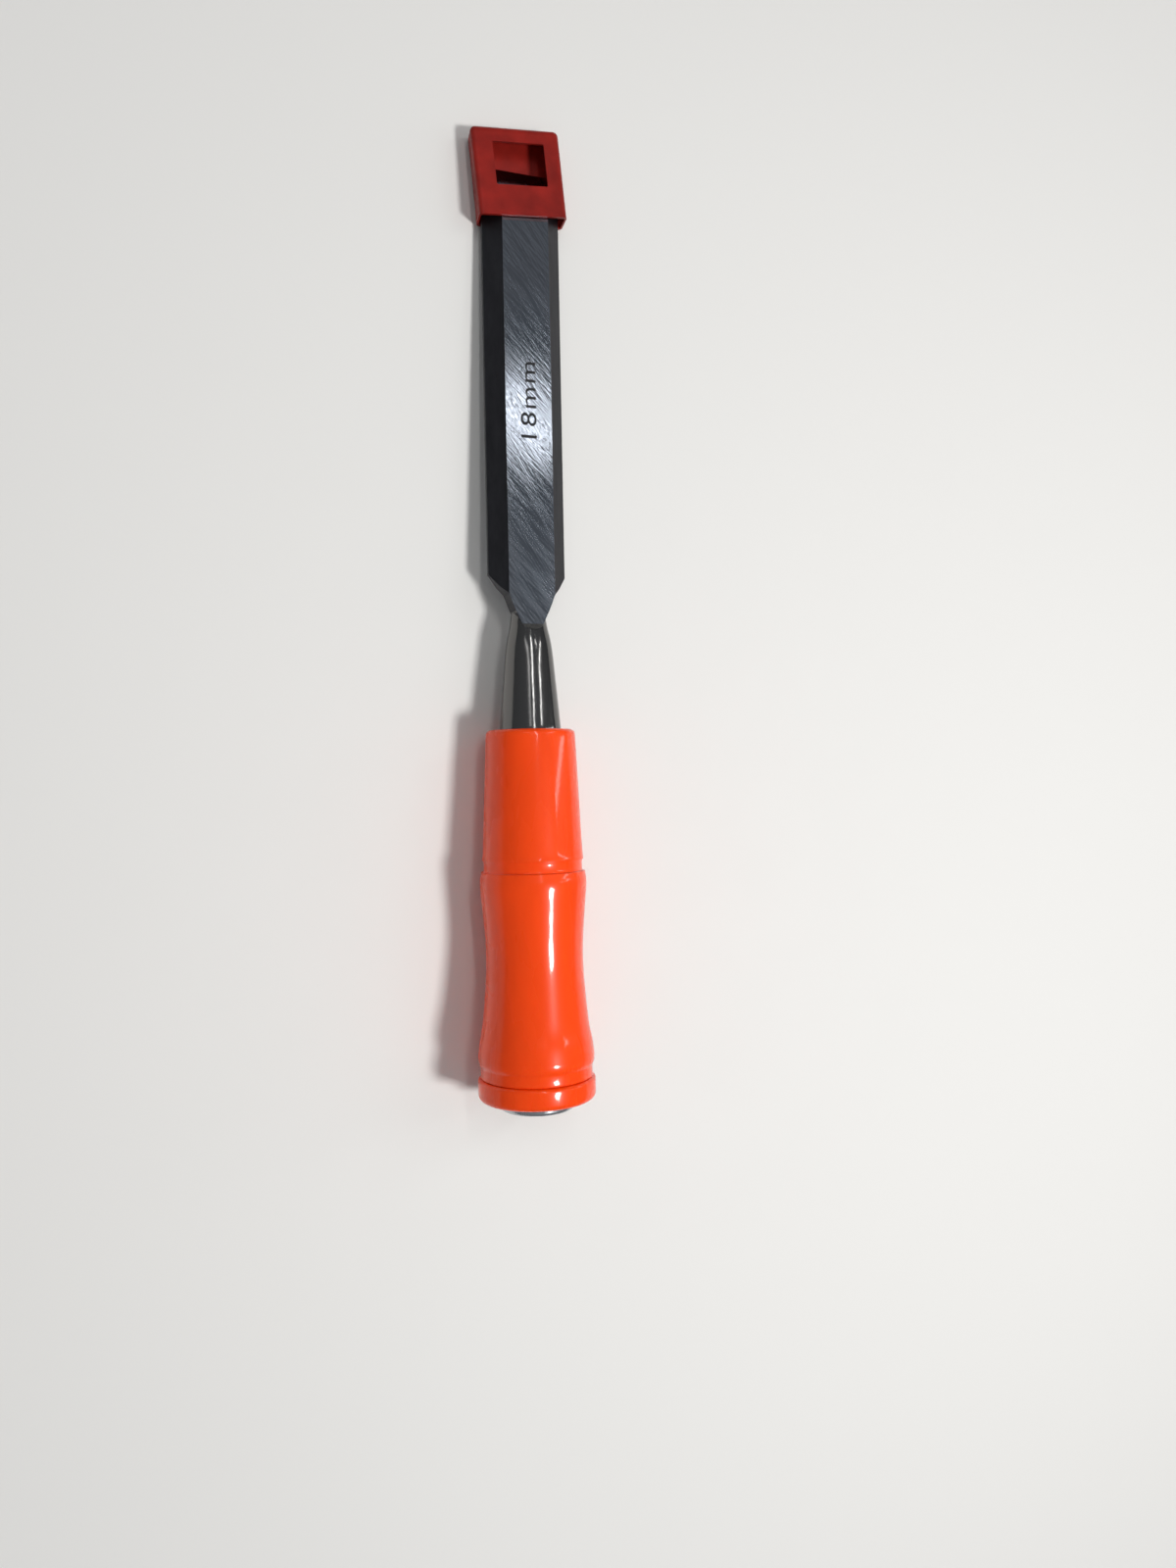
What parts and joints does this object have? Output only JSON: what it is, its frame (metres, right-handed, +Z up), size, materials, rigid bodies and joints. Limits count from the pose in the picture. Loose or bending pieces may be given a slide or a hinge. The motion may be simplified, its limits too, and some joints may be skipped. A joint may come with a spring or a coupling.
{
  "type": "bench chisel",
  "caption": "Bevel-edged bench chisel with a turned plastic handle, steel strike cap and a slip-on tip guard.",
  "frame": {"origin": "middle of the footprint, on the bench that the chisel lies on", "axes": "+Y along the tool from the strike cap to the cutting edge, +Z up out of the bevelled face, +X to the right of both"},
  "size_m": [0.0264, 0.219, 0.0283],
  "materials": {
    "blade_steel": "ground and polished chrome vanadium steel",
    "handle_plastic": "glossy injection moulding",
    "cap_steel": "polished, turned steel",
    "guard_plastic": "translucent soft moulded PVC"
  },
  "bodies": {
    "chisel": {"blade": "blade_steel", "handle": "handle_plastic", "strike_cap": "cap_steel"},
    "guard": {"tip_guard": "guard_plastic"}
  },
  "joints": [
    {"name": "guard_pull", "type": "slide", "parent": "chisel", "child": "guard", "axis": [0, 1, 0], "range_m": [0, 0.03]}
  ]
}
